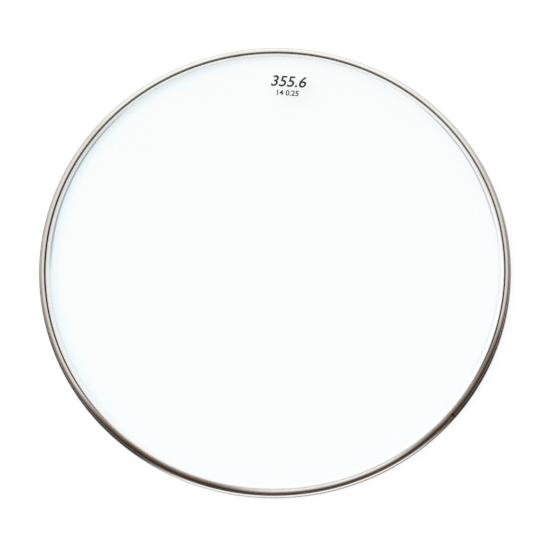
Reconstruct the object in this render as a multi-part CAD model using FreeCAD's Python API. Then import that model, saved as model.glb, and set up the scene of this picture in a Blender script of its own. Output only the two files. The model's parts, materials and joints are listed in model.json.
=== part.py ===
import FreeCAD, Part
import math
import os

# A clear drum head: a formed plastic film whose slotted hem is potted with resin in a metal
# hoop. Lengths are millimetres and angles degrees. The head lies with its playing face up, the
# origin is at the middle of the hoop's underside and +Z points up.

# The drum that the head fits
shell_diameter = 355.6
shell_clearance = 0.8

# The hoop: a channel bent into a ring, with its outer wall rolled in over the top
wall_thickness = 0.6
channel_width = 5.6
hoop_height = 8.0
base_bend_radius = 1.2
crown_bend_radius = 3.1
crown_flat = 0.4
lip_bend_radius = 1.3
lip_bend_angle = 75.0
seam_gap = 0.8
seam_azimuth = -37.4

# The film: a flat crown, a steep step down to a sloping flange, and a hem inside the channel
film_thickness = 0.25
shoulder_radius = 1.8
step_rise = 4.2
step_run = 0.7
flange_rise = 1.3
flange_run = 3.6
hem_floor_gap = 0.7
lip_clearance = 0.15

# The slots along the hem, which the resin fills as keys
key_slot_width = 3.0
key_slot_height = 1.6
key_slot_count = 24

# The primer between the resin and the channel
bond_line = 0.1

# The bead of resin that rises between the hoop's ends, and how deep it is rooted
bead_root = 0.6

# How far a cutting tool runs past what it cuts
overrun = 0.5

# Bends are drawn with flats, which leave the true arc by no more than this
flat_depth = 0.1

# Places worked out from the sizes above
inner_radius = shell_diameter / 2 + shell_clearance
outer_radius = inner_radius + channel_width
hem_radius = inner_radius + channel_width / 2
crown_radius = outer_radius - crown_bend_radius
flange_slope = flange_rise / flange_run
full_turn = 360.0
origin = FreeCAD.Vector(0, 0, 0)
up = FreeCAD.Vector(0, 0, 1)


def at(radius, height):
    """A point of a section, drawn in the XZ plane."""
    return FreeCAD.Vector(radius, 0, height)


def bend(before, corner, after, radius):
    """The points of a bend that rounds a corner of a section line."""
    arrive = (corner - before).normalize()
    leave = (after - corner).normalize()
    turn = arrive.getAngle(leave)
    side = (leave - arrive * math.cos(turn)).normalize()
    start = corner - arrive * (radius * math.tan(turn / 2))
    flat_turn = 2 * math.acos(1 - min(flat_depth / radius, 1))
    flat_count = math.ceil(turn / flat_turn)
    points = []
    for number in range(flat_count + 1):
        angle = turn * number / flat_count
        points.append(start + (arrive * math.sin(angle) + side * (1 - math.cos(angle))) * radius)
    return points


def left_of(start, end):
    """The unit vector to the left of a run, seen with X to the right and Z up."""
    run = (end - start).normalize()
    return at(-run.z, run.x)


def shifted(corners, distance):
    """The corners of an open section line moved to its left by a distance."""
    sides = [left_of(a, b) for a, b in zip(corners, corners[1:])]
    moved = []
    for corner, before, after in zip(corners, sides[:1] + sides, sides + sides[-1:]):
        moved.append(corner + (before + after) * (distance / (1 + before.dot(after))))
    return moved


def turned(outline, gap_angle):
    """A closed outline turned about the axis, less a gap that is centred on the seam."""
    section = Part.Face(Part.makePolygon(outline + outline[:1]))
    ring = section.revolve(origin, up, full_turn - gap_angle)
    ring.rotate(origin, up, seam_azimuth + gap_angle / 2)
    return ring


def lip_end(radius):
    """Where the lip ends, on an arc of the given radius about the lip bend's centre."""
    turn = math.radians(lip_bend_angle)
    centre = at(crown_radius - crown_flat, hoop_height - lip_bend_radius)
    return centre + at(-math.sin(turn), math.cos(turn)) * radius


def below_lip(distance):
    """A point below the lip's end, at a distance square to the film's flange."""
    return lip_end(lip_bend_radius) + at(-flange_rise, -flange_run).normalize() * distance


def cavity():
    """The channel's inside, from the inner wall's top down, along the floor and up to the lip."""
    wall_edge = below_lip(film_thickness + 2 * lip_clearance)
    inner_face = inner_radius + wall_thickness
    outer_face = outer_radius - wall_thickness
    bend_centre = at(crown_radius, hoop_height - crown_bend_radius)
    half_bend = math.radians(full_turn / 8)
    return [
        at(inner_face, wall_edge.z + (wall_edge.x - inner_face) * flange_slope),
        at(inner_face, wall_thickness),
        at(outer_face, wall_thickness),
        at(outer_face, bend_centre.z),
        bend_centre + at(math.cos(half_bend), math.sin(half_bend)) * (crown_bend_radius - wall_thickness),
        at(crown_radius, hoop_height - wall_thickness),
        lip_end(lip_bend_radius - wall_thickness),
    ]


def hoop_channel():
    """The channel, open at its butt seam."""
    inside = cavity()
    wall_top = at(inner_radius, inside[0].z)
    inner_foot = at(inner_radius, 0)
    outer_foot = at(outer_radius, 0)
    crown = at(outer_radius, hoop_height)
    lip_reach = lip_bend_radius * math.tan(math.radians(lip_bend_angle) / 2)
    lip = at(crown_radius - crown_flat - lip_reach, hoop_height)
    outside = [wall_top]
    outside += bend(wall_top, inner_foot, outer_foot, base_bend_radius)
    outside += bend(inner_foot, outer_foot, crown, base_bend_radius)
    outside += bend(outer_foot, crown, lip, crown_bend_radius)
    outside += bend(crown, lip, lip_end(lip_bend_radius), lip_bend_radius)
    return turned(outside + inside[::-1], math.degrees(seam_gap / outer_radius))


def film_corners():
    """The film's underside, from the hem's lower edge under the lip to the axis."""
    mouth = below_lip(film_thickness + lip_clearance)
    foot = mouth + at(-flange_run, flange_rise)
    shoulder = foot + at(-step_run, step_rise)
    return [
        at(hem_radius, wall_thickness + hem_floor_gap),
        at(hem_radius, mouth.z + (mouth.x - hem_radius) * flange_slope),
        foot,
        shoulder,
        at(0, shoulder.z),
    ]


def with_shoulder(corners, radius):
    """The film's line along its corners, with its shoulder rounded."""
    foot, shoulder, middle = corners[-3:]
    return corners[:-2] + bend(foot, shoulder, middle, radius) + [middle]


def key_slots(height):
    """The punches of the hem's slots, evenly spaced round the hoop."""
    pitch = full_turn / key_slot_count
    depth = film_thickness + 2 * overrun
    corner = FreeCAD.Vector(hem_radius - overrun, -key_slot_width / 2, height - key_slot_height / 2)
    punches = []
    for number in range(key_slot_count):
        punch = Part.makeBox(depth, key_slot_width, key_slot_height, corner)
        punch.rotate(origin, up, seam_azimuth + (number + 1 / 2) * pitch)
        punches.append(punch)
    return punches


def film():
    """The formed film, with its slotted hem."""
    corners = film_corners()
    under = with_shoulder(corners, shoulder_radius)
    over = with_shoulder(shifted(corners, -film_thickness), shoulder_radius + film_thickness)
    hem_bottom, hem_top = corners[:2]
    return turned(under + over[::-1], 0).cut(key_slots((hem_bottom.z + hem_top.z) / 2))


def seam_bead():
    """The resin that rises between the hoop's ends, next to the lip."""
    foot = at(crown_radius - crown_flat, hoop_height - wall_thickness - bead_root)
    height = bead_root + wall_thickness - bond_line
    bead = Part.makeCylinder(seam_gap / 2 - bond_line, height, foot, up)
    bead.rotate(origin, up, seam_azimuth)
    return bead


def resin_ring(potted_film):
    """The resin that fills the channel round the film, keys through its slots and rises in the seam."""
    fill = turned(shifted(cavity(), bond_line), 0)
    return fill.fuse(seam_bead()).removeSplitter().cut(potted_film)


def export(name, shape):
    """Writes one sub-part and prints what it holds."""
    shape.exportStep(os.path.join("parts", name + ".step"))
    box = shape.optimalBoundingBox()
    sizes = [round(length, 3) for length in (box.XLength, box.YLength, box.ZMin, box.ZMax)]
    print(name, len(shape.Solids), "solid", round(shape.Volume), "mm3", shape.isValid(), sizes)


os.makedirs("parts", exist_ok=True)
formed_film = film()
export("film", formed_film)
export("hoop_channel", hoop_channel())
export("resin_ring", resin_ring(formed_film))
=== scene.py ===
import json
import math

import bpy
from bpy.props import FloatProperty, FloatVectorProperty, IntProperty, PointerProperty, StringProperty
from mathutils import Matrix, Quaternion, Vector


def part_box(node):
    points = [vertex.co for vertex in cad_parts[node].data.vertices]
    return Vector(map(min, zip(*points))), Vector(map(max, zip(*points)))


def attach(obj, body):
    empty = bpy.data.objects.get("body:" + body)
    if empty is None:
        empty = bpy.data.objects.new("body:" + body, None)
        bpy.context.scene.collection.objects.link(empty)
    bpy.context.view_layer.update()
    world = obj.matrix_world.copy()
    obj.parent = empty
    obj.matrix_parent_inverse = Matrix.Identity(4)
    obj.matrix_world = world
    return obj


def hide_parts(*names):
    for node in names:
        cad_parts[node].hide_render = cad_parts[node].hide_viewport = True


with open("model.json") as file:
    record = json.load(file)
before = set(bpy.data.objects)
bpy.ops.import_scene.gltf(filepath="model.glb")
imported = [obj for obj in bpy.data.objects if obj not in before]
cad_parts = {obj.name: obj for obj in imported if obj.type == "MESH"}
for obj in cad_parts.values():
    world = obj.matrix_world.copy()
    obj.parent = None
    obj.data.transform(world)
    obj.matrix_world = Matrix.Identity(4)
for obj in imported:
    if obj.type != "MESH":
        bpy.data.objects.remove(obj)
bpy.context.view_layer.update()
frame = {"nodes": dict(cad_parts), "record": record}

bl_info = {
    "name": "Drum head",
    "version": (1, 0, 0),
    "blender": (4, 5, 0),
    "location": "View3D > Sidebar > Drum head",
    "description": "Builds a clear drum head with its hoop, film, resin and size mark on a pale stage",
    "category": "Object",
}

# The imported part: its box, and the mounts and pieces that size the hoop and the film
mounts = {mount["name"]: mount for mount in frame["record"]["mounts"]}
millimetre = 0.001
shell_bore = mounts["shell_bore"]
bore_length = shell_bore["dims"]["length_mm"] * millimetre
inner_radius = shell_bore["dims"]["r_mm"] * millimetre
outer_radius = mounts["rim_pin"]["dims"]["r_mm"] * millimetre
inner_wall_top = shell_bore["pos_m"][2] + bore_length / 2
crown_underside = mounts["bearing_edge_face"]["pos_m"][2]
hoop_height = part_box("hoop_channel")[1].z
film_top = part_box("film")[1].z
full_turn = 2 * math.pi

# How finely the turned pieces are divided, where doubled points merge and which edges stay hard
turn_steps = 720
bend_flats = 10
crown_rings = 18
merge_distance = 1e-6
hard_edge = math.radians(40)

# The film's ripples, where they calm down, and how far out a face is part of the hem
ripple_seed = 3.0
shoulder_calm_shares = (0.9, 1)
mark_calm_shares = (1, 2)
hem_share = 0.999

# Noises that have no width among the settings, and the middle of every noise's range
smears_per_metre = 16
ink_grains_per_metre = 1800
paper_fibres_per_metre = 300
noise_middle = 0.5

# Directions round the hoop. Here and below, a pair of shares says where a rise starts and ends,
# or what a value varies between
full_reach_share = 0.4
front_to_right_share = 0.15
front_share = 0.95
front_fade_shares = (0.38, 0.68)
back_shares = (-0.2, 0.6)
foot_shade_front_shares = (-0.3, 0.3)
side_reflection_shares = (0.6, 1)

# The hoop's tarnish, where the noises show it, and how much patches and specks have; its sides are
# darkened too, as a painted dull reflection
dull_shares = (0.45, 0.75)
worn_shares = (0.66, 0.74)
dull_tarnish_share = 0.3
worn_tarnish_share = 0.15
side_reflection_share = 0.5

# The hoop's painted dark reflections, as brown patches and a line, up the shoulder and across the top
right_dark_reflection_share = 0.88
dark_reflection_patch_shares = (0.8, 1.2)
dark_reflection_top_share = 0.95
dark_reflection_fade_share = 0.85
dark_reflection_height_shares = (0.6, 0.98)
shoulder_reflection_start_shares = (0.22, 0.38)
shoulder_reflection_end_shares = (0.57, 0.74)

# The hoop's painted shade along the lip and at the foot, its grime along the seam, and the resin smeared
# there
painted_lip_shade_shares = (0.5, 1.5)
painted_lip_shade_back_share = 0.55
foot_patch_shade_noise_shares = (0.9, 1.3)
foot_patch_shade_height_shares = (0.8, 1.3)
clamp_shares = (0.5, 1)
smear_width_shares = (0.8, 1.2)
smear_lip_shares = (1, 1.4)
seam_grime_shares = (0.6, 1)

# Roughness and relief of the hoop
line_roughness_share = 0.12
dull_roughness_share = 0.1
clamp_roughness_share = 0.12
grime_and_shade_roughness_shares = (0.7, 0.9)
line_relief_share = 0.12
line_depth = 0.00002

# The film: its gloss, its edge, its painted shade by the lip, its painted shadow in the margin, its tints
# and its roughness
facing_blend_share = 0.5
film_refraction = 1.4
gloss_roughness_share = 0.05
step_gloss_shares = (-1, -0.5)
edge_facing_shares = (0.88, 0.95)
edge_cover_share = 0.97
film_crevice_shade_shares = (-1.5, -0.5)
film_crevice_shade_cover_shares = (0.8, 0.15)
right_crease_share = 0.5
margin_side_shares = (0.25, 1)
haze_smear_shares = (0.6, 1.4)
film_roughness_shares = (0.25, 0.35)

# The resin, the ink and the floor's paper
swirl_shares = (0.6, 1.4)
bubble_relief_share = 0.2
bubble_depth = 0.00005
resin_roughness_shares = (0.22, 0.37)
ink_wear_shares = (0.5, 0.8)
ink_roughness_shares = (0.4, 0.6)
paper_roughness_shares = (0.85, 0.95)

# The sky: what each direction adds, the sums at its dark and bright ends, and its colours between
sky_right_share = -0.25
sky_sides_share = -0.35
sky_back_share = 0.84
sky_up_share = 0.52
sky_dark_sum = -0.5
sky_bright_sum = 1
room_stop = 0.04
sky_stop = 0.93
sky_colours = {
    0.26: (0.15, 0.107, 0.081),
    0.4: (0.28, 0.24, 0.21),
    0.53: (0.42, 0.4, 0.37),
    0.66: (0.64, 0.62, 0.59),
    0.77: (0.84, 0.82, 0.79),
    0.84: (0.95, 0.935, 0.91),
}

# How far the camera sees, counted in its distances from the head
sight_distances = 20
white = (1, 1, 1)


def length(label, text, value):
    """A size in metres that a user may change."""
    return FloatProperty(name=label, description=text, default=value, unit="LENGTH", precision=5)


def angle(label, text, degrees):
    """An angle that a user may change. Places round the hoop and the lamp's go from +X towards +Y."""
    return FloatProperty(name=label, description=text, default=math.radians(degrees), subtype="ANGLE")


def share(label, text, value):
    """A share from 0 to 1, or a strength, that a user may change."""
    return FloatProperty(name=label, description=text, default=value)


def colour(label, text, value):
    """A colour that a user may change."""
    return FloatVectorProperty(name=label, description=text, default=value, subtype="COLOR", min=0, max=1)


def wording(label, text, value):
    """A row of type that a user may change."""
    return StringProperty(name=label, description=text, default=value)


class HoopSettings(bpy.types.PropertyGroup):
    """Sizes and colours of the metal hoop"""

    wall: length("Wall", "Thickness of the metal strip", 0.0006)
    base_bend: length("Base bend", "Outer radius of the two bends at the base", 0.0012)
    crown_bend: length("Top bend", "Outer radius of the bend at the top", 0.0031)
    crown_flat: length("Top flat", "Width of the level stretch beside the lip", 0.0004)
    lip_bend: length("Lip bend", "Outer radius of the lip's bend", 0.0013)
    lip_angle: angle("Lip angle", "How far the lip bends down", 75)
    seam_gap: length("Seam gap", "Width of the butt seam", 0.0008)
    seam_azimuth: angle("Seam azimuth", "Where the seam is", -37.4)
    metal: colour("Metal", "Bright rolled metal", (0.955, 0.94, 0.905))
    # Colour of the tarnish, and also of the painted dull reflection on the sides
    tarnish_and_side_reflection: colour("Tarnish", "Dull patches on the metal", (0.72, 0.665, 0.59))
    # Painted dark reflection: brown patches where the front of the shoulder mirrors the dim room
    dark_reflection: colour("Stain", "Brown stains left by handling", (0.145, 0.076, 0.041))
    # Painted shade along the lip and at the foot, and grime in the seam
    grime_and_shade: colour("Grime", "Dark grime along the lip, foot and seam", (0.018, 0.017, 0.016))
    dark_reflection_share: share("Stain share", "How strongly the stains cover the metal", 0.95)
    right_dark_reflection: angle("Right stain", "Where the right-hand stain is darkest", -33)
    right_reach: angle("Right reach", "How far the right-hand stain reaches", 26)
    left_dark_reflection: angle("Left stain", "Where the left-hand stain is darkest", -116)
    left_reach: angle("Left reach", "How far the left-hand stain reaches", 30)
    # Painted dark reflection: a dark line all round the outer shoulder
    shoulder_reflection: colour("Rub", "Dark line that a rim has rubbed along the shoulder", (0.06, 0.034, 0.023))
    shoulder_reflection_share: share("Rub share", "How strongly the rub line covers the metal", 0.95)
    # Painted shade in the lip's crevice
    painted_lip_shade: length("Lip grime", "Width of the grime along the lip's edge", 0.0006)
    # Painted contact shadow at the foot: a ragged line and two darker patches
    painted_foot_shade: length("Foot grime", "Height of the grime at the foot", 0.0012)
    foot_patch_shade_height: length("Foot splash", "Height of the grime where it splashed", 0.006)
    right_foot_patch_shade: angle("Right splash", "Where the right-hand splash is darkest", -18)
    left_foot_patch_shade: angle("Left splash", "Where the left-hand splash is darkest", -140)
    foot_patch_shade_reach: angle("Splash reach", "How far a splash reaches", 35)
    smear: colour("Smear", "Resin smeared on the lip at the seam", (0.95, 0.66, 0.38))
    roughness: share("Roughness", "Roughness of the rolled metal", 0.2)
    line_width: length("Line width", "Width of the rolling lines", 0.0002)
    line_length: length("Line length", "Length of the rolling lines", 0.04)
    patch_width: length("Patch width", "Width of the dull patches", 0.03)
    speck_width: length("Speck width", "Width of the worn specks", 0.0011)
    clamp_length: length("Clamp length", "Stretch beside the seam that a clamp has dulled", 0.009)


class FilmSettings(bpy.types.PropertyGroup):
    """Sizes and colours of the clear film"""

    thickness: length("Thickness", "Thickness of the film", 0.00025)
    shoulder: length("Shoulder", "Inner radius of the shoulder", 0.0018)
    foot: length("Foot", "Inner radius of the bend between step and flange", 0.0009)
    hem_bend: length("Hem bend", "Inner radius of the bend between flange and hem", 0.0006)
    step_rise: length("Step rise", "Height of the steep step", 0.0042)
    step_run: length("Step run", "Width of the steep step", 0.0007)
    flange_rise: length("Flange rise", "Height of the sloping flange", 0.0013)
    flange_run: length("Flange run", "Width of the sloping flange", 0.0036)
    hem_gap: length("Hem gap", "Room under the hem in the channel", 0.0007)
    lip_gap: length("Lip gap", "Room between the film and the hoop's lip", 0.00015)
    slot_width: length("Slot width", "Width of a slot in the hem", 0.003)
    slot_height: length("Slot height", "Height of a slot in the hem", 0.0016)
    slot_count: IntProperty(name="Slot count", description="Slots along the hem", default=24)
    ripple: length("Ripple", "Depth of the slack film's ripples", 0.00018)
    ripple_width: length("Ripple width", "Distance between ripples", 0.07)
    tint: colour("Tint", "Light that passes one face of the film", (0.986, 0.994, 0.996))
    gloss_share: share("Gloss", "Share of the mirrored light that shows", 0.15)
    edge: colour("Edge", "Film seen along its plane", (0.06, 0.1, 0.12))
    # Painted shade in the crevice between the film and the hoop's lip
    film_crevice_shade: colour("Glue", "Glue line beside the hoop's lip", (0.03, 0.027, 0.02))
    film_crevice_shade_width: length("Glue width", "Width of the glue line", 0.0004)
    crease_width: length("Crease width", "Width of the tinted crease at the step", 0.0018)
    crease_offset: length("Crease offset", "How far the crease lies inside the step", 0.0005)
    left_crease: angle("Left crease", "Where the left-hand crease is strongest", 161)
    left_reach: angle("Left reach", "How far the left-hand crease reaches", 27)
    right_crease: angle("Right crease", "Where the right-hand crease is strongest", 34)
    right_reach: angle("Right reach", "How far the right-hand crease reaches", 22)
    crease_share: share("Crease share", "How strongly the crease is tinted", 0.42)
    # Painted shadow of the hoop on the floor, seen through the film, pale cyan and stronger at the left
    margin: colour("Margin", "Pale tint of the film's margin", (0.1, 0.72, 1))
    margin_width: length("Margin width", "Width of the tinted margin inside the step", 0.014)
    margin_reach: angle("Margin reach", "How far the stronger left-hand tint reaches", 80)
    margin_share: share("Margin share", "How strongly the left-hand margin is tinted", 0.05)
    haze_share: share("Haze", "How strongly the whole film is tinted", 0.008)


class ResinSettings(bpy.types.PropertyGroup):
    """Sizes and colours of the potting resin"""

    # Painted shade: the resin down in the channel is made almost black
    deep: colour("Deep", "Resin in the channel", (0.016, 0.009, 0.005))
    pale: colour("Pale", "Resin in the bead that rises at the seam", (1, 0.68, 0.34))
    bead_height: length("Bead height", "Height of the bead that shows in the seam", 0.0005)
    swirl_width: length("Swirl width", "Width of the swirls in the resin", 0.0045)
    bubble_width: length("Bubble width", "Width of the bubbles in the resin", 0.0006)


class MarkSettings(bpy.types.PropertyGroup):
    """Size mark printed on the film"""

    diameter: wording("Diameter", "Diameter of the drum in mm", "355.6")
    diameter_height: length("Diameter height", "Height of the diameter's type", 0.0128)
    gauge: wording("Gauge", "Diameter in inches and thickness in mm", "14 0.25")
    gauge_height: length("Gauge height", "Height of the gauge's type", 0.0062)
    gauge_boldness_share: share("Gauge boldness", "How bold the gauge is, for its type's height", 0.022)
    boldness_share: share("Boldness", "How bold the diameter is, for its type's height", 0.0135)
    slant_share: share("Slant", "How far the diameter's type leans", 0.2)
    distance: length("Distance", "Distance of the mark from the middle", 0.1496)
    ink_depth: length("Ink depth", "Thickness of the ink", 0.00003)
    ink: colour("Ink", "Printing ink", (0.012, 0.012, 0.014))
    worn_ink: colour("Worn ink", "Printing ink where its grain is worn", (0.05, 0.05, 0.055))


class StageSettings(bpy.types.PropertyGroup):
    """Camera, floor and light"""

    azimuth: angle("Azimuth", "Direction of the camera from the front, towards the right", 6.65)
    elevation: angle("Elevation", "Height of the camera above the horizon", 71.8)
    roll: angle("Roll", "Turn of the camera about its view", -2.75)
    distance: length("Distance", "Distance of the camera from the head", 2.5)
    view_width: length("View width", "Width of the picture at the head", 0.4298)
    headroom: length("Headroom", "How far the head lies above the middle", 0.0058)
    sideroom: length("Sideroom", "How far the head lies right of the middle", -0.00025)
    floor: colour("Floor", "Pale floor", (0.96, 0.96, 0.96))
    floor_size: length("Floor size", "Width of the floor", 24)
    sky: colour("Soft sky", "Soft light above and behind", (1, 0.985, 0.955))
    room: colour("Room", "Dim room in front", (0.07, 0.041, 0.029))
    glow_share: share("Glow", "Share of the floor's look under the head that needs no light", 0.76)
    outer_glow_share: share("Outer glow", "The same share beside the head", 0.92)
    contact_width: length("Contact width", "Reach of the shadow at the hoop's foot", 0.0008)
    lamp: share("Lamp", "Strength of the soft lamp", 2.4)
    lamp_spread: angle("Lamp spread", "Width of the soft lamp in the sky", 50)
    lamp_tilt: angle("Lamp tilt", "How far the soft lamp stands from overhead", 30)
    lamp_azimuth: angle("Lamp azimuth", "Direction of the soft lamp", 185)
    lamp_colour: colour("Lamp colour", "Colour of the soft lamp", (0.95, 0.98, 1))


class DrumHeadSettings(bpy.types.PropertyGroup):
    """All settings of the drum head"""

    hoop: PointerProperty(type=HoopSettings)
    film: PointerProperty(type=FilmSettings)
    resin: PointerProperty(type=ResinSettings)
    mark: PointerProperty(type=MarkSettings)
    stage: PointerProperty(type=StageSettings)


class Wire:
    """An output of a node, on which sums can be written."""

    def __init__(self, graph, socket):
        self.graph = graph
        self.socket = socket

    def __add__(self, other):
        return self.graph.math("ADD", self, other)

    def __radd__(self, other):
        return self.graph.math("ADD", other, self)

    def __sub__(self, other):
        return self.graph.math("SUBTRACT", self, other)

    def __rsub__(self, other):
        return self.graph.math("SUBTRACT", other, self)

    def __mul__(self, other):
        return self.graph.math("MULTIPLY", self, other)

    def __truediv__(self, other):
        return self.graph.math("DIVIDE", self, other)

    def __rtruediv__(self, other):
        return self.graph.math("DIVIDE", other, self)

    def __pow__(self, other):
        return self.graph.math("POWER", self, other)

    def __lt__(self, other):
        return self.graph.math("LESS_THAN", self, other)

    def __gt__(self, other):
        return self.graph.math("GREATER_THAN", self, other)

    def __abs__(self):
        return self.graph.math("ABSOLUTE", self)

    def rise(self, low, high):
        """A smooth step from 0 at low to 1 at high."""
        settings = {"interpolation_type": "SMOOTHSTEP"}
        sockets = {"Value": self, "From Min": low, "From Max": high}
        return self.graph.node("ShaderNodeMapRange", settings, sockets)["Result"]

    def between(self, low, high):
        """A value that goes from low to high while this share goes from 0 to 1."""
        return low + self * (high - low)


class Made:
    """A node whose outputs are taken by name."""

    def __init__(self, graph, node):
        self.graph = graph
        self.node = node

    def __getitem__(self, name):
        return Wire(self.graph, socket_of(self.node.outputs, name))


def socket_of(sockets, name):
    """The socket that is shown, and has that identifier or name."""
    found = [s for s in sockets if s.enabled and name in (s.identifier, s.name)]
    if not found:
        raise KeyError(f"no socket {name!r}")
    return found[0]


class Graph:
    """A node tree under construction."""

    def __init__(self, tree):
        self.tree = tree

    def node(self, kind, settings=None, sockets=None):
        """Adds a node, with its settings first and then the values or links of its sockets."""
        node = self.tree.nodes.new(kind)
        for name, value in (settings or {}).items():
            if name == "stops":
                self.set_stops(node.color_ramp, value)
            else:
                setattr(node, name, value)
        for name, value in (sockets or {}).items():
            self.feed(socket_of(node.inputs, name), value)
        return Made(self, node)

    def feed(self, socket, value):
        """Links a socket to one or more wires, or sets its value."""
        wires = value if isinstance(value, list) else [value]
        for wire in wires:
            if isinstance(wire, Wire):
                self.tree.links.new(wire.socket, socket)
            else:
                socket.default_value = wire

    def set_stops(self, ramp, stops):
        """Gives a ramp its stops, as places and colours."""
        for place, _ in stops[len(ramp.elements):]:
            ramp.elements.new(place)
        for element, (place, shade) in zip(ramp.elements, stops):
            element.position = place
            element.color = shade

    def math(self, operation, *values):
        """A Math node on one or two values."""
        sockets = dict(zip(("Value", "Value_001"), values))
        return self.node("ShaderNodeMath", {"operation": operation}, sockets)["Value"]

    def mix(self, factor, first, second):
        """A blend of two colours."""
        sockets = {"Factor_Float": factor, "A_Color": first, "B_Color": second}
        return self.node("ShaderNodeMix", {"data_type": "RGBA"}, sockets)["Result_Color"]

    def blend(self, factor, first, second):
        """A blend of two shaders."""
        sockets = {"Fac": factor, "Shader": first, "Shader_001": second}
        return self.node("ShaderNodeMixShader", None, sockets)["Shader"]

    def principled(self, sockets):
        """A shader for most matter."""
        return self.node("ShaderNodeBsdfPrincipled", None, sockets)["BSDF"]

    def relief(self, height, strength, depth):
        """The normal of a surface whose relief follows a height from 0 to 1."""
        sockets = {"Strength": strength, "Distance": depth, "Height": height}
        return self.node("ShaderNodeBump", None, sockets)["Normal"]

    def show(self, shader):
        """Makes a shader the material's surface."""
        self.node("ShaderNodeOutputMaterial", None, {"Surface": shader})

    def geometry(self, kind, geometry, sockets=None, settings=None):
        """What a geometry node makes of some geometry."""
        sockets = {"Geometry": geometry, **(sockets or {})}
        return self.node("GeometryNode" + kind, settings, sockets)["Geometry"]

    def vector(self, x, y, z):
        """A vector from three values."""
        return self.node("ShaderNodeCombineXYZ", None, {"X": x, "Y": y, "Z": z})["Vector"]

    def parts(self, vector):
        """The three values of a vector."""
        split = self.node("ShaderNodeSeparateXYZ", None, {"Vector": vector})
        return split["X"], split["Y"], split["Z"]

    def noise(self, vector, scale, detail, w=0):
        """A noise from 0 to 1 on a vector and a fourth value."""
        sockets = {"Vector": vector, "W": w, "Scale": scale, "Detail": detail}
        return self.node("ShaderNodeTexNoise", {"noise_dimensions": "4D"}, sockets)["Fac"]


class SurfacePoint:
    """The point that a material colours: its coordinates, and where it lies round the hoop."""

    def __init__(self, graph):
        self.graph = graph
        self.x, self.y, self.z = graph.parts(graph.node("ShaderNodeTexCoord")["Object"])
        self.place = graph.vector(self.x, self.y, self.z)
        self.radius = (self.x * self.x + self.y * self.y) ** 0.5

    def near(self, azimuth, reach):
        """A share that fades from 1 round an azimuth to 0 at a reach from it."""
        along = (self.x * math.cos(azimuth) + self.y * math.sin(azimuth)) / self.radius
        return along.rise(math.cos(reach), math.cos(reach * full_reach_share))

    def away_from_front(self):
        """A share that fades from 1 at the back and the sides of the hoop to 0 at its front."""
        towards_front = (self.x * front_to_right_share - self.y * front_share) / self.radius
        return 1 - towards_front.rise(*front_fade_shares)

    def at_back(self):
        """A share that grows from 0 at the sides of the hoop to 1 at its back."""
        return (self.y / self.radius).rise(*back_shares)


def opaque(shade):
    """A colour with full alpha."""
    return (*shade, 1)


def new_material(name):
    """An empty material, the graph of its nodes and the point that it colours."""
    material = bpy.data.materials.new(name)
    material.use_nodes = True
    material.node_tree.nodes.clear()
    graph = Graph(material.node_tree)
    return material, graph, SurfacePoint(graph)


def painted_dark_reflection(hoop, point, patches, shoulder):
    """Painted dark reflection of the dim room, in brown patches up the hoop's shoulder, fainter towards
    the lip.
    """
    reflected_dark = point.near(hoop.right_dark_reflection, hoop.right_reach) * right_dark_reflection_share
    reflected_dark = reflected_dark + point.near(hoop.left_dark_reflection, hoop.left_reach)
    from_top = outer_radius - hoop.crown_bend * dark_reflection_top_share - point.radius
    fading = 1 - from_top.rise(0, hoop.crown_bend) * dark_reflection_fade_share
    return reflected_dark * patches.between(*dark_reflection_patch_shares) * fading * shoulder.rise(*dark_reflection_height_shares)


def painted_lip_shade(hoop, point):
    """Painted shade in the crevice along the lip's edge, apart from the front."""
    lip = lip_end(hoop)
    from_lip = (point.radius - lip.x) / hoop.painted_lip_shade + point.at_back() * painted_lip_shade_back_share
    on_lip = point.z.rise(inner_wall_top, lip.y)
    return (1 - from_lip.rise(*painted_lip_shade_shares)) * point.away_from_front() * on_lip


def painted_foot_shade(hoop, point, patches, specks):
    """Painted contact shadow at the foot of the front, as a ragged line and two patches."""
    line = 1 - (point.z / hoop.painted_foot_shade + specks - noise_middle).rise(0, 1)
    shaded_foot_patches = point.near(hoop.right_foot_patch_shade, hoop.foot_patch_shade_reach)
    shaded_foot_patches = shaded_foot_patches + point.near(hoop.left_foot_patch_shade, hoop.foot_patch_shade_reach)
    below = 1 - (point.z / hoop.foot_patch_shade_height).rise(*foot_patch_shade_height_shares)
    shaded_foot_patches = shaded_foot_patches * patches.between(*foot_patch_shade_noise_shares) * below
    front = (point.y * -1 / point.radius).rise(*foot_shade_front_shares)
    return point.graph.math("MAXIMUM", line, shaded_foot_patches) * front


def seam_marks(hoop, point):
    """Shares of a clamp's dull stretch, of resin smeared at the lip and of grime along the seam."""
    seam = Vector((math.cos(hoop.seam_azimuth), math.sin(hoop.seam_azimuth)))
    beside = point.x * seam.y - point.y * seam.x
    seam_side = (point.x * seam.x + point.y * seam.y).rise(0, inner_radius)
    from_lip = (point.radius - lip_end(hoop).x) / hoop.lip_bend
    lip_side = 1 - from_lip.rise(*smear_lip_shares)
    gaps = abs(beside) / hoop.seam_gap
    clamped = beside.rise(0, hoop.seam_gap) * (1 - (beside / hoop.clamp_length).rise(*clamp_shares))
    smeared = (1 - gaps.rise(*smear_width_shares)) * lip_side
    grimy = (1 - gaps.rise(*seam_grime_shares)) * (1 - lip_side)
    return clamped * seam_side, smeared * seam_side, grimy * seam_side


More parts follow.
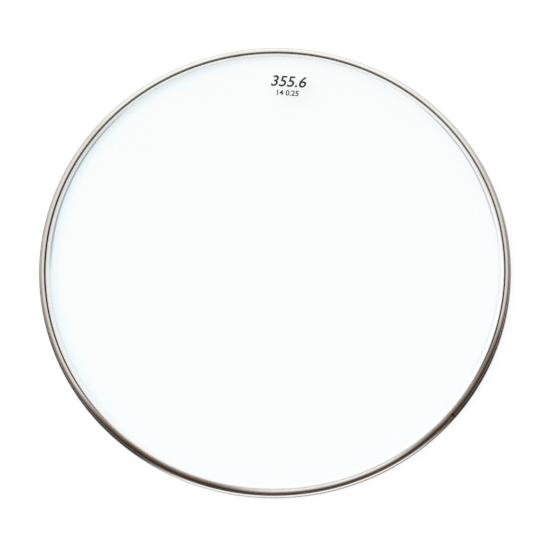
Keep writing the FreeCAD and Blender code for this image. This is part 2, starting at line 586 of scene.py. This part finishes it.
def hoop_metal(hoop):
    """Bright rolled metal with lines along the strip and tarnish; painted dark reflections, painted shade
    at lip and foot, and seam grime.
    """
    material, graph, point = new_material("hoop_metal")
    across = point.radius / hoop.line_width
    up = point.z / hoop.line_width
    strip = graph.vector(across, up, point.x / hoop.line_length)
    lines = graph.noise(strip, scale=1, detail=3, w=point.y / hoop.line_length)
    patches = graph.noise(point.place, 1 / hoop.patch_width, detail=4)
    specks = graph.noise(point.place, 1 / hoop.speck_width, detail=2)
    dull = patches.rise(*dull_shares)
    worn = specks.rise(*worn_shares)
    # The left and right sides are dulled as a painted reflection, not tarnish
    side = (abs(point.x) / point.radius).rise(*side_reflection_shares)
    tarnish_and_side_cover = dull * dull_tarnish_share + worn * worn_tarnish_share + side * side_reflection_share
    outer_side = point.radius.rise(outer_radius - hoop.crown_bend, outer_radius - hoop.wall)
    shoulder = (point.z - (hoop_height - hoop.crown_bend)) / hoop.crown_bend
    # Painted dark reflection, in brown patches on the front of the shoulder
    painted_reflection_cover = painted_dark_reflection(hoop, point, patches, shoulder)
    # A painted dark reflection all round the outer shoulder
    shoulder_reflected = outer_side * shoulder.rise(*shoulder_reflection_start_shares) * (1 - shoulder.rise(*shoulder_reflection_end_shares))
    clamped, smeared, seam_grime = seam_marks(hoop, point)
    base = graph.mix(tarnish_and_side_cover, opaque(hoop.metal), opaque(hoop.tarnish_and_side_reflection))
    base = graph.mix(painted_reflection_cover * hoop.dark_reflection_share, base, opaque(hoop.dark_reflection))
    base = graph.mix(shoulder_reflected * hoop.shoulder_reflection_share, base, opaque(hoop.shoulder_reflection))
    base = graph.mix(smeared, base, opaque(hoop.smear))
    rough = hoop.roughness + (lines - noise_middle) * line_roughness_share
    rough = rough + dull * dull_roughness_share + clamped * clamp_roughness_share
    relief = graph.relief(lines, line_relief_share, line_depth)
    metal = graph.principled({"Base Color": base, "Metallic": 1, "Roughness": rough, "Normal": relief})
    # This dark shader paints shade along the lip and at the foot, and grime along the seam
    grime_and_shade_rough = specks.between(*grime_and_shade_roughness_shares)
    grime_and_shade_sockets = {"Base Color": opaque(hoop.grime_and_shade), "Roughness": grime_and_shade_rough, "Specular IOR Level": 0}
    grime_and_shade = graph.principled(grime_and_shade_sockets)
    cover = graph.math("MAXIMUM", painted_lip_shade(hoop, point), seam_grime)
    # Painted contact shadow at the foot, on the outer side only
    cover = graph.math("MAXIMUM", cover, painted_foot_shade(hoop, point, patches, specks) * outer_side)
    graph.show(graph.blend(cover, metal, grime_and_shade))
    return material


def clear_film(film, hoop):
    """Clear film: light passes it, its faces gloss, and its edge and creases are tinted; shade is painted
    by the lip and a shadow in its margin.
    """
    material, graph, point = new_material("clear_film")
    step = film_step(film, hoop)
    facing = graph.node("ShaderNodeLayerWeight", None, {"Blend": facing_blend_share})["Facing"]
    fresnel = graph.node("ShaderNodeFresnel", None, {"IOR": film_refraction})["Fac"]
    smear = graph.noise(point.place, smears_per_metre, detail=4)
    clear = graph.node("ShaderNodeBsdfTransparent", None, {"Color": opaque(film.tint)})["BSDF"]
    mirror_sockets = {"Color": opaque(white), "Roughness": gloss_roughness_share}
    mirror = graph.node("ShaderNodeBsdfGlossy", None, mirror_sockets)["BSDF"]
    on_step = ((point.radius - step) / film.shoulder).rise(*step_gloss_shares)
    gloss = fresnel * film.gloss_share * (1 - on_step * (1 - point.away_from_front()))
    edge = facing.rise(*edge_facing_shares) * edge_cover_share
    # Painted shade in the crevice by the lip
    film_crevice_shade = ((point.radius - lip_end(hoop).x) / film.film_crevice_shade_width).rise(*film_crevice_shade_shares)
    film_crevice_shade = film_crevice_shade * point.away_from_front() * point.at_back().between(*film_crevice_shade_cover_shares)
    crease = 1 - abs(point.radius - (step - film.crease_offset)).rise(0, film.crease_width)
    pressed = point.near(film.left_crease, film.left_reach)
    pressed = pressed + point.near(film.right_crease, film.right_reach) * right_crease_share
    # Painted shadow in the margin inside the step, stronger at the left
    margin = point.radius.rise(step - film.margin_width, step) * film.margin_share
    margin = margin * (1 - point.radius.rise(step, step + film.crease_width))
    margin = margin * point.near(film.left_crease, film.margin_reach).between(*margin_side_shares)
    haze = smear.between(*haze_smear_shares) * film.haze_share
    tint_and_margin_shadow = haze + crease * pressed * film.crease_share + margin
    cover = graph.math("MAXIMUM", graph.math("MAXIMUM", tint_and_margin_shadow, edge), film_crevice_shade)
    base = graph.mix(margin / tint_and_margin_shadow, opaque(film.edge), opaque(film.margin))
    base = graph.mix(edge, base, opaque(film.edge))
    base = graph.mix(film_crevice_shade, base, opaque(film.film_crevice_shade))
    body = graph.principled({"Base Color": base, "Roughness": smear.between(*film_roughness_shares)})
    graph.show(graph.blend(cover, graph.blend(gloss, clear, mirror), body))
    return material


def potting_resin(resin):
    """Resin painted almost black down in the channel, as painted shade, and amber with paler swirls in the
    bead at the seam.
    """
    material, graph, point = new_material("potting_resin")
    swirl = graph.noise(point.place, 1 / resin.swirl_width, detail=3)
    bubbles = graph.noise(point.place, 1 / resin.bubble_width, detail=1)
    risen = point.z.rise(hoop_height - resin.bead_height, hoop_height - resin.bead_height / 2)
    base = graph.mix(risen * swirl.between(*swirl_shares), opaque(resin.deep), opaque(resin.pale))
    rough = bubbles.between(*resin_roughness_shares)
    relief = graph.relief(bubbles, bubble_relief_share, bubble_depth)
    graph.show(graph.principled({"Base Color": base, "Roughness": rough, "Normal": relief}))
    return material


def printing_ink(mark):
    """Black printing ink with a slightly uneven gloss."""
    material, graph, point = new_material("printing_ink")
    grain = graph.noise(point.place, ink_grains_per_metre, detail=2)
    base = graph.mix(grain.rise(*ink_wear_shares), opaque(mark.ink), opaque(mark.worn_ink))
    graph.show(graph.principled({"Base Color": base, "Roughness": grain.between(*ink_roughness_shares)}))
    return material


def floor_paper(stage):
    """Pale matte paper that shows white to the camera and in mirrors, and keeps the hoop's shadow."""
    material, graph, point = new_material("floor_paper")
    fibre = graph.noise(point.place, paper_fibres_per_metre, detail=3)
    rough = fibre.between(*paper_roughness_shares)
    paper = graph.principled({"Base Color": opaque(stage.floor), "Roughness": rough})
    glow = graph.node("ShaderNodeEmission", None, {"Color": opaque(white)})["Emission"]
    path = graph.node("ShaderNodeLightPath")
    seen = path["Is Camera Ray"] + path["Is Glossy Ray"] + path["Is Transmission Ray"]
    beside = point.radius.rise(outer_radius, outer_radius + stage.contact_width)
    under = 1 - point.radius.rise(inner_radius, outer_radius)
    glowing = beside * stage.outer_glow_share + under * stage.glow_share
    graph.show(graph.blend(glowing * graph.math("MINIMUM", seen, 1), paper, glow))
    return material


def bend(before, corner, after, radius):
    """The points of a bend that rounds a corner of a section line."""
    arrive = (corner - before).normalized()
    leave = (after - corner).normalized()
    turn = arrive.angle(leave)
    side = (leave - arrive * math.cos(turn)).normalized()
    start = corner - arrive * (radius * math.tan(turn / 2))
    points = []
    for number in range(bend_flats + 1):
        reached = turn * number / bend_flats
        points.append(start + (arrive * math.sin(reached) + side * (1 - math.cos(reached))) * radius)
    return points


def bent(corners, radii):
    """A section line along its corners, with the inner ones bent to their radii."""
    points = corners[:1]
    for before, corner, after, radius in zip(corners, corners[1:], corners[2:], radii):
        points += bend(before, corner, after, radius)
    return points + corners[-1:]


def shifted(corners, distance):
    """The corners of an open section line moved to its left by a distance."""
    runs = [(b - a).normalized() for a, b in zip(corners, corners[1:])]
    sides = [Vector((-run.y, run.x)) for run in runs]
    moved = []
    for corner, before, after in zip(corners, sides[:1] + sides, sides + sides[-1:]):
        moved.append(corner + (before + after) * (distance / (1 + before.dot(after))))
    return moved


def lip_end(hoop):
    """Where the hoop's lip ends."""
    centre = Vector((outer_radius - hoop.crown_bend - hoop.crown_flat, hoop_height - hoop.lip_bend))
    return centre + Vector((-math.sin(hoop.lip_angle), math.cos(hoop.lip_angle))) * hoop.lip_bend


def hoop_outline(hoop):
    """The strip's section, with radius along X and height along Y."""
    lip_reach = hoop.lip_bend * math.tan(hoop.lip_angle / 2)
    corners = [
        Vector((inner_radius, inner_wall_top)),
        Vector((inner_radius, 0)),
        Vector((outer_radius, 0)),
        Vector((outer_radius, hoop_height)),
        Vector((outer_radius - hoop.crown_bend - hoop.crown_flat - lip_reach, hoop_height)),
        lip_end(hoop),
    ]
    radii = [hoop.base_bend, hoop.base_bend, hoop.crown_bend, hoop.lip_bend]
    outside = bent(corners, radii)[:-1]
    inside = bent(shifted(corners, hoop.wall), [radius - hoop.wall for radius in radii])[:-1]
    return outside + inside[::-1]


def film_step(film, hoop):
    """The radius of the middle of the film's step."""
    return lip_end(hoop).x - film.flange_run - film.step_run / 2


def film_line(film, hoop):
    """The film's underside from the hem's lower edge to the axis, as radius along X and height along Y."""
    slope = film.flange_rise / film.flange_run
    below = Vector((-film.flange_rise, -film.flange_run)).normalized()
    mouth = lip_end(hoop) + below * (film.thickness + film.lip_gap)
    foot = mouth + Vector((-film.flange_run, film.flange_rise))
    shoulder = foot + Vector((-film.step_run, film.step_rise))
    hem_radius = (inner_radius + outer_radius) / 2
    hem_bottom = Vector((hem_radius, hoop.wall + film.hem_gap))
    hem_top = Vector((hem_radius, mouth.y + (mouth.x - hem_radius) * slope))
    middle = (hem_bottom.y + hem_top.y) / 2
    slot_low = Vector((hem_radius, middle - film.slot_height / 2))
    slot_high = Vector((hem_radius, middle + film.slot_height / 2))
    axis = Vector((0, shoulder.y))
    line = [hem_bottom, slot_low, slot_high]
    line += bend(slot_high, hem_top, foot, film.hem_bend)
    line += bend(hem_top, foot, shoulder, film.foot + film.thickness)
    line += bend(foot, shoulder, axis, film.shoulder)
    rim = line[-1]
    for ring in range(1, crown_rings + 1):
        line.append(rim.lerp(axis, ring / crown_rings))
    return line


def flat_section(name, points, closed):
    """A mesh of a section: one face where it is closed, or else a line of edges."""
    mesh = bpy.data.meshes.new(name)
    places = [(point.x, point.y, 0) for point in points]
    edges = [] if closed else [(n, n + 1) for n in range(len(places) - 1)]
    faces = [range(len(places))] if closed else []
    mesh.from_pydata(places, edges, faces)
    return mesh


def new_tree(name, inputs):
    """A geometry tree with named inputs, its graph and the wires of its inputs."""
    tree = bpy.data.node_groups.new(name, "GeometryNodeTree")
    for label, kind in inputs.items():
        tree.interface.new_socket(label, in_out="INPUT", socket_type=kind)
    tree.interface.new_socket("Geometry", in_out="OUTPUT", socket_type="NodeSocketGeometry")
    graph = Graph(tree)
    return tree, graph, graph.node("NodeGroupInput")


def around(graph, section_place, reached):
    """A section's point, with radius along X and height along Y, turned about the axis."""
    radius, height, _ = graph.parts(section_place)
    cosine = graph.math("COSINE", reached)
    sine = graph.math("SINE", reached)
    return graph.vector(radius * cosine, radius * sine, height)


def moved_to(graph, geometry, place):
    """Geometry whose points are set to a place."""
    return graph.geometry("SetPosition", geometry, {"Position": place})


def turned_skin(graph, inputs, closed):
    """The skin that a section sweeps when it turns from Start through Turn in Steps."""
    section = inputs["Section"]
    size = graph.node("GeometryNodeAttributeDomainSize", {"component": "MESH"}, {"Geometry": section})
    count = size["Point Count"]
    wrapped = count + int(closed)
    grid_sockets = {"Vertices X": inputs["Steps"] + 1, "Vertices Y": wrapped}
    grid = graph.node("GeometryNodeMeshGrid", None, grid_sockets)["Mesh"]
    index = graph.node("GeometryNodeInputIndex")["Index"]
    step = graph.math("FLOOR", (index + 0.5) / wrapped)
    row = graph.math("MODULO", index - step * wrapped, count)
    place = graph.node("GeometryNodeInputPosition")["Position"]
    sample_sockets = {"Geometry": section, "Value": place, "Index": row}
    sample = graph.node("GeometryNodeSampleIndex", {"data_type": "FLOAT_VECTOR"}, sample_sockets)["Value"]
    reached = inputs["Start"] + inputs["Turn"] * step / inputs["Steps"]
    return moved_to(graph, grid, around(graph, sample, reached))


def finished(graph, geometry, material):
    """Merges doubled points, shades the skin and gives it its material."""
    merged = graph.geometry("MergeByDistance", geometry, {"Distance": merge_distance})
    smooth = graph.geometry("SetShadeSmooth", merged, settings={"domain": "FACE"})
    bend_angle = graph.node("GeometryNodeInputMeshEdgeAngle")["Unsigned Angle"]
    hard = {"Selection": bend_angle > hard_edge, "Shade Smooth": False}
    shaded = graph.geometry("SetShadeSmooth", smooth, hard, {"domain": "EDGE"})
    real = graph.geometry("RealizeInstances", shaded)
    dressed = graph.geometry("SetMaterial", real, {"Material": material})
    graph.node("NodeGroupOutput", None, {"Geometry": dressed})


turned_inputs = {
    "Section": "NodeSocketGeometry",
    "Steps": "NodeSocketInt",
    "Start": "NodeSocketFloat",
    "Turn": "NodeSocketFloat",
    "Material": "NodeSocketMaterial",
}


def seamed_ring_tree():
    """Turns a closed section into a ring with two flat ends that face each other across a seam."""
    tree, graph, inputs = new_tree("seamed_ring", turned_inputs)
    place = graph.node("GeometryNodeInputPosition")["Position"]
    skin = turned_skin(graph, inputs, closed=True)
    first = moved_to(graph, inputs["Section"], around(graph, place, inputs["Start"]))
    last = moved_to(graph, inputs["Section"], around(graph, place, inputs["Start"] + inputs["Turn"]))
    last = graph.node("GeometryNodeFlipFaces", None, {"Mesh": last})["Mesh"]
    whole = graph.geometry("JoinGeometry", [skin, first, last])
    finished(graph, whole, inputs["Material"])
    return tree


def slotted_film_tree():
    """Turns the film's line into a skin, punches the hem's slots and ripples the crown."""
    kinds = {
        **turned_inputs,
        "Slot Count": "NodeSocketInt",
        "Slot Width": "NodeSocketFloat",
        "Slot Low": "NodeSocketFloat",
        "Slot High": "NodeSocketFloat",
        "Hem Radius": "NodeSocketFloat",
        "Ripple": "NodeSocketFloat",
        "Ripple Width": "NodeSocketFloat",
        "Flat Radius": "NodeSocketFloat",
        "Mark Distance": "NodeSocketFloat",
        "Mark Radius": "NodeSocketFloat",
        "Seed": "NodeSocketFloat",
    }
    tree, graph, inputs = new_tree("slotted_film", kinds)
    skin = turned_skin(graph, inputs, closed=False)
    x, y, z = graph.parts(graph.node("GeometryNodeInputPosition")["Position"])
    radius = (x * x + y * y) ** 0.5
    pitch = full_turn / inputs["Slot Count"]
    turns = (graph.math("ARCTAN2", y, x) - inputs["Start"]) / pitch
    offset = abs(graph.math("FRACT", turns + inputs["Slot Count"]) - 0.5) * pitch * radius
    in_slot = (offset < inputs["Slot Width"] / 2) * (z > inputs["Slot Low"]) * (z < inputs["Slot High"])
    in_slot = in_slot * (radius > inputs["Hem Radius"] * hem_share)
    cut = graph.geometry("DeleteGeometry", skin, {"Selection": in_slot}, {"domain": "FACE"})
    ripples = graph.noise(graph.vector(x, y, 0), 1 / inputs["Ripple Width"], detail=1, w=inputs["Seed"])
    calm = 1 - (radius / inputs["Flat Radius"]).rise(*shoulder_calm_shares)
    from_mark = (x * x + (y - inputs["Mark Distance"]) ** 2) ** 0.5
    calm = calm * (from_mark / inputs["Mark Radius"]).rise(*mark_calm_shares)
    sink = inputs["Ripple"] * ripples * calm
    rippled = graph.geometry("SetPosition", cut, {"Offset": graph.vector(0, 0, sink * -1)})
    finished(graph, rippled, inputs["Material"])
    return tree


def grown(name, mesh, tree, values, wall=None):
    """A plain mesh object from a section, a geometry tree with its inputs' values, and a wall."""
    source = linked(name + "_section", mesh)
    modifier = source.modifiers.new("turned", "NODES")
    modifier.node_group = tree
    for item in tree.interface.items_tree:
        if item.in_out == "INPUT" and item.name in values:
            modifier[item.identifier] = values[item.name]
    if wall is not None:
        solid = source.modifiers.new("wall", "SOLIDIFY")
        solid.thickness = wall
        solid.offset = 1
        solid.use_even_offset = True
    source.update_tag()
    grown_mesh = evaluated_mesh(source)
    if not grown_mesh.polygons:
        raise RuntimeError(f"{name} came out empty")
    grown_mesh.name = name
    return linked(name, grown_mesh)


def evaluated_mesh(source):
    """The mesh that an object comes out as. The object itself is removed."""
    evaluated = source.evaluated_get(bpy.context.evaluated_depsgraph_get())
    mesh = bpy.data.meshes.new_from_object(evaluated)
    bpy.data.objects.remove(source)
    return mesh


def linked(name, data):
    """An object in the scene."""
    made = bpy.data.objects.new(name, data)
    bpy.context.scene.collection.objects.link(made)
    return made


class DRUMHEAD_OT_hoop(bpy.types.Operator):
    """Sweeps the hoop's channel round from one end of its seam to the other"""

    bl_idname = "drum_head.hoop"
    bl_label = "Make the hoop"

    def execute(self, context):
        hoop = context.scene.drum_head.hoop
        mesh = flat_section("hoop_section", hoop_outline(hoop), closed=True)
        gap_turn = hoop.seam_gap / outer_radius
        values = {
            "Steps": turn_steps,
            "Start": hoop.seam_azimuth + gap_turn / 2,
            "Turn": full_turn - gap_turn,
            "Material": hoop_metal(hoop),
        }
        piece = grown("hoop", mesh, seamed_ring_tree(), values)
        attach(piece, "root")
        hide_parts("hoop_channel")
        return {"FINISHED"}


class DRUMHEAD_OT_film(bpy.types.Operator):
    """Turns the film, with its slotted hem, and gives it its thickness"""

    bl_idname = "drum_head.film"
    bl_label = "Make the film"

    def execute(self, context):
        settings = context.scene.drum_head
        film = settings.film
        line = film_line(film, settings.hoop)
        mesh = flat_section("film_section", self.lowered(line, settings.mark.ink_depth), closed=False)
        values = {
            "Steps": turn_steps,
            "Start": settings.hoop.seam_azimuth,
            "Turn": full_turn,
            "Material": clear_film(film, settings.hoop),
            "Slot Count": film.slot_count,
            "Slot Width": film.slot_width,
            "Slot Low": line[1].y,
            "Slot High": line[2].y,
            "Hem Radius": line[0].x,
            "Ripple": film.ripple,
            "Ripple Width": film.ripple_width,
            "Flat Radius": line[-1 - crown_rings].x,
            "Mark Distance": settings.mark.distance,
            "Mark Radius": settings.mark.diameter_height,
            "Seed": ripple_seed,
        }
        piece = grown("film_sheet", mesh, slotted_film_tree(), values, film.thickness)
        # Without these two the clear film greys the floor under it
        piece.visible_shadow = False
        piece.visible_diffuse = False
        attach(piece, "root")
        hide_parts("film")
        return {"FINISHED"}

    def lowered(self, line, depth):
        """The film's line with its flat stretch lowered, to leave room for the ink on it."""
        flat = crown_underside - merge_distance
        return [point - Vector((0, depth if point.y > flat else 0)) for point in line]


class DRUMHEAD_OT_resin(bpy.types.Operator):
    """Dresses the resin in the channel"""

    bl_idname = "drum_head.resin"
    bl_label = "Make the resin"

    def execute(self, context):
        resin = context.scene.drum_head.resin
        node = frame["nodes"]["resin_ring"]
        node.data.materials.clear()
        node.data.materials.append(potting_resin(resin))
        return {"FINISHED"}


class DRUMHEAD_OT_size_mark(bpy.types.Operator):
    """Prints the nominal size on the film"""

    bl_idname = "drum_head.size_mark"
    bl_label = "Print the size mark"

    def execute(self, context):
        mark = context.scene.drum_head.mark
        ink = printing_ink(mark)
        upper = mark.distance + mark.gauge_height / 2
        lower = mark.distance - mark.diameter_height / 2
        diameter = self.row_of_type(mark.diameter, mark.diameter_height, mark.boldness_share)
        diameter.shear = mark.slant_share
        gauge = self.row_of_type(mark.gauge, mark.gauge_height, mark.gauge_boldness_share)
        self.print_row("mark_diameter", diameter, upper, ink)
        self.print_row("mark_gauge", gauge, lower, ink)
        return {"FINISHED"}

    def row_of_type(self, text, height, boldness_share):
        """A row of type about its middle, as thick as the ink."""
        row = bpy.data.curves.new("type", "FONT")
        row.body = text
        row.size = height
        row.offset = height * boldness_share
        row.align_x = "CENTER"
        row.align_y = "CENTER"
        row.extrude = bpy.context.scene.drum_head.mark.ink_depth / 2
        return row

    def print_row(self, name, row, distance, ink):
        """Prints a row of type on the film, at a distance behind the middle of the head."""
        mesh = evaluated_mesh(linked(name + "_type", row))
        mesh.transform(Matrix.Translation((0, distance, film_top - row.extrude)))
        mesh.materials.clear()
        mesh.materials.append(ink)
        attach(linked(name, mesh), "root")


class DRUMHEAD_OT_stage(bpy.types.Operator):
    """Lays the floor and sets the light and the camera"""

    bl_idname = "drum_head.stage"
    bl_label = "Set the stage"

    def execute(self, context):
        scene = context.scene
        stage = scene.drum_head.stage
        scene.view_settings.view_transform = "Standard"
        half = stage.floor_size / 2
        corners = [(-half, -half, 0), (half, -half, 0), (half, half, 0), (-half, half, 0)]
        mesh = bpy.data.meshes.new("floor")
        mesh.from_pydata(corners, [], [range(len(corners))])
        mesh.materials.append(floor_paper(stage))
        linked("floor", mesh)
        self.set_sky(scene, stage)
        self.set_lamp(stage)
        self.set_camera(scene, stage)
        return {"FINISHED"}

    def set_sky(self, scene, stage):
        """A soft sky above and behind, over a dim room in front."""
        world = bpy.data.worlds.new("studio")
        world.use_nodes = True
        world.node_tree.nodes.clear()
        graph = Graph(world.node_tree)
        x, y, z = graph.parts(graph.node("ShaderNodeTexCoord")["Generated"])
        across = x * sky_right_share + abs(x) * sky_sides_share
        towards_sky = across + y * sky_back_share + z * sky_up_share
        towards_sky = (towards_sky - sky_dark_sum) / (sky_bright_sum - sky_dark_sum)
        colours = {room_stop: stage.room, **sky_colours, sky_stop: stage.sky}
        stops = [(place, opaque(shade)) for place, shade in colours.items()]
        ramp = graph.node("ShaderNodeValToRGB", {"stops": stops}, {"Fac": towards_sky})
        light = graph.node("ShaderNodeBackground", None, {"Color": ramp["Color"]})
        graph.node("ShaderNodeOutputWorld", None, {"Surface": light["Background"]})
        scene.world = world

    def set_lamp(self, stage):
        """A broad lamp that doesn't show in mirrors."""
        lamp = bpy.data.lights.new("soft_lamp", "SUN")
        lamp.energy = stage.lamp
        lamp.color = stage.lamp_colour
        lamp.angle = stage.lamp_spread
        source = linked("soft_lamp", lamp)
        source.rotation_euler = (0, stage.lamp_tilt, stage.lamp_azimuth)
        source.visible_glossy = False

    def set_camera(self, scene, stage):
        """A long lens from above the front, turned as the photograph is."""
        data = bpy.data.cameras.new("camera")
        data.lens = data.sensor_width * stage.distance / stage.view_width
        data.clip_end = stage.distance * sight_distances
        camera = linked("camera", data)
        level = math.cos(stage.elevation)
        right = math.sin(stage.azimuth) * level
        front = math.cos(stage.azimuth) * level
        back = Vector((right, -front, math.sin(stage.elevation)))
        turned = (-back).to_track_quat("-Z", "Y") @ Quaternion((0, 0, 1), stage.roll)
        aim = Vector((0, 0, hoop_height / 2)) - turned @ Vector((stage.sideroom, stage.headroom, 0))
        camera.location = aim + back * stage.distance
        camera.rotation_mode = "QUATERNION"
        camera.rotation_quaternion = turned
        scene.camera = camera


class DRUMHEAD_PT_panel(bpy.types.Panel):
    """Lists the settings and the steps"""

    bl_idname = "DRUMHEAD_PT_panel"
    bl_label = "Drum head"
    bl_space_type = "VIEW_3D"
    bl_region_type = "UI"
    bl_category = "Drum head"

    def draw(self, context):
        settings = context.scene.drum_head
        for group, operator in steps.items():
            box = self.layout.box()
            for name in getattr(settings, group).__annotations__:
                box.prop(getattr(settings, group), name)
            box.operator(operator.bl_idname)


steps = {
    "hoop": DRUMHEAD_OT_hoop,
    "film": DRUMHEAD_OT_film,
    "resin": DRUMHEAD_OT_resin,
    "mark": DRUMHEAD_OT_size_mark,
    "stage": DRUMHEAD_OT_stage,
}
groups = (HoopSettings, FilmSettings, ResinSettings, MarkSettings, StageSettings, DrumHeadSettings)
classes = (*groups, *steps.values(), DRUMHEAD_PT_panel)


def register():
    """Registers the settings, the operators and the panel."""
    for item in classes:
        bpy.utils.register_class(item)
    bpy.types.Scene.drum_head = PointerProperty(type=DrumHeadSettings)


def unregister():
    """Removes what register added."""
    del bpy.types.Scene.drum_head
    for item in reversed(classes):
        bpy.utils.unregister_class(item)


def main():
    """Builds the drum head on its stage."""
    register()
    bpy.ops.drum_head.hoop()
    bpy.ops.drum_head.film()
    bpy.ops.drum_head.resin()
    bpy.ops.drum_head.size_mark()
    bpy.ops.drum_head.stage()


if __name__ == "__main__":
    main()
